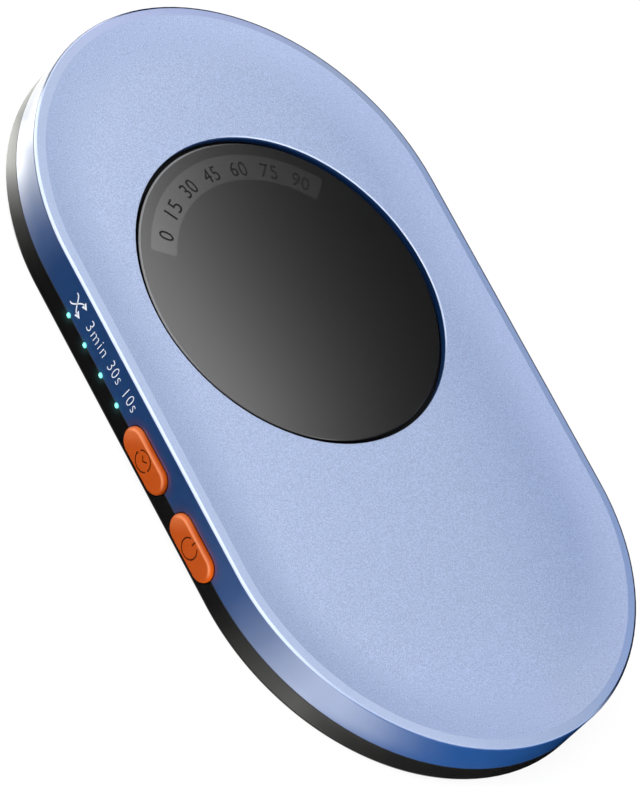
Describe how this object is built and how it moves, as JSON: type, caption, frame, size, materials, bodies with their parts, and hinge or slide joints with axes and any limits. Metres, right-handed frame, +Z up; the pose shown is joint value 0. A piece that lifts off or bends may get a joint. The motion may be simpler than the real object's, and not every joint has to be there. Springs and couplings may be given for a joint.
{
  "type": "mouse jiggler",
  "caption": "Slim stadium-shaped pad with a motor-driven turntable that keeps a mouse moving, side push buttons, mode lamps and a power inlet.",
  "frame": {"origin": "centre of the case outline, on the plane that the feet stand on", "axes": "+Z up, +Y towards the turntable end, -X side carries the buttons"},
  "size_m": [0.0849, 0.146, 0.0111],
  "materials": {
    "shell_blue": "satin anodised, fine grain",
    "shell_black": "satin",
    "foot_rubber": "matt",
    "steel_screw": "blackened",
    "disc_black": "fine satin",
    "scale_grey": "satin print",
    "carrier_plastic": "moulded",
    "gear_plastic": "moulded",
    "bush_brass": "turned",
    "steel_ground": "ground",
    "washer_plastic": "smooth",
    "motor_steel": "plated",
    "coil_copper": "enamelled wire",
    "magnet_black": "sintered",
    "button_orange": "satin",
    "lamp_clear": "clear moulding",
    "board_green": "solder mask",
    "chip_black": "moulded",
    "capacitor_tan": "ceramic",
    "socket_white": "moulded",
    "lead_black": "sheath"
  },
  "bodies": {
    "case": {"top_cover": "shell_blue", "bottom_cover": "shell_black", "rubber_feet": "foot_rubber", "case_screws": "steel_screw", "turntable_spindle": "steel_ground", "thrust_washer": "washer_plastic", "spindle_washer": "steel_ground", "spindle_screw": "steel_screw", "idler_pin": "steel_ground", "idler_clip": "steel_ground", "motor_can": "motor_steel", "motor_end_plate": "motor_steel", "motor_coil": "coil_copper", "motor_bushings": "bush_brass", "motor_terminals": "socket_white", "motor_screws": "steel_screw", "light_pipe": "lamp_clear", "indicator_leds": "socket_white", "main_board": "board_green", "board_screws": "steel_screw", "controller_chip": "chip_black", "driver_chip": "chip_black", "board_capacitors": "capacitor_tan", "power_lead_socket": "socket_white", "motor_lead_socket": "socket_white", "usb_lead_socket": "socket_white", "usb_board": "board_green", "usb_board_screws": "steel_screw", "usb_socket_shell": "motor_steel", "usb_socket_tongue": "chip_black", "power_lead": "lead_black", "motor_lead": "lead_black", "timer_switch_body": "chip_black", "power_switch_body": "chip_black"},
    "turntable": {"turntable_disc": "disc_black", "scale_inlay": "scale_grey", "turntable_carrier": "carrier_plastic", "turntable_gear": "gear_plastic", "turntable_bush": "bush_brass"},
    "idler": {"compound_gear": "gear_plastic"},
    "rotor": {"motor_rotor": "magnet_black", "motor_shaft": "steel_ground", "motor_pinion": "bush_brass"},
    "timer_key": {"timer_button": "button_orange", "timer_switch_stem": "socket_white"},
    "power_key": {"power_button": "button_orange", "power_switch_stem": "socket_white"}
  },
  "joints": [
    {"name": "turntable_spin", "type": "hinge", "parent": "case", "child": "turntable", "pos_m": [0, 0.0163, 0], "axis": [0, 0, 1], "continuous": true},
    {"name": "idler_spin", "type": "hinge", "parent": "case", "child": "idler", "pos_m": [0, -0.0107, 0], "axis": [0, 0, 1], "continuous": true},
    {"name": "rotor_spin", "type": "hinge", "parent": "case", "child": "rotor", "pos_m": [0, -0.0257, 0], "axis": [0, 0, 1], "continuous": true},
    {"name": "timer_button_push", "type": "slide", "parent": "case", "child": "timer_key", "axis": [1, 0, 0], "range_m": [0, 0.0004], "stiffness_N_per_m": 1500},
    {"name": "power_button_push", "type": "slide", "parent": "case", "child": "power_key", "axis": [1, 0, 0], "range_m": [0, 0.0004], "stiffness_N_per_m": 1500}
  ],
  "couplings": [
    {"joint": "idler_spin", "follows": "turntable_spin", "ratio": -8},
    {"joint": "rotor_spin", "follows": "turntable_spin", "ratio": 32}
  ]
}
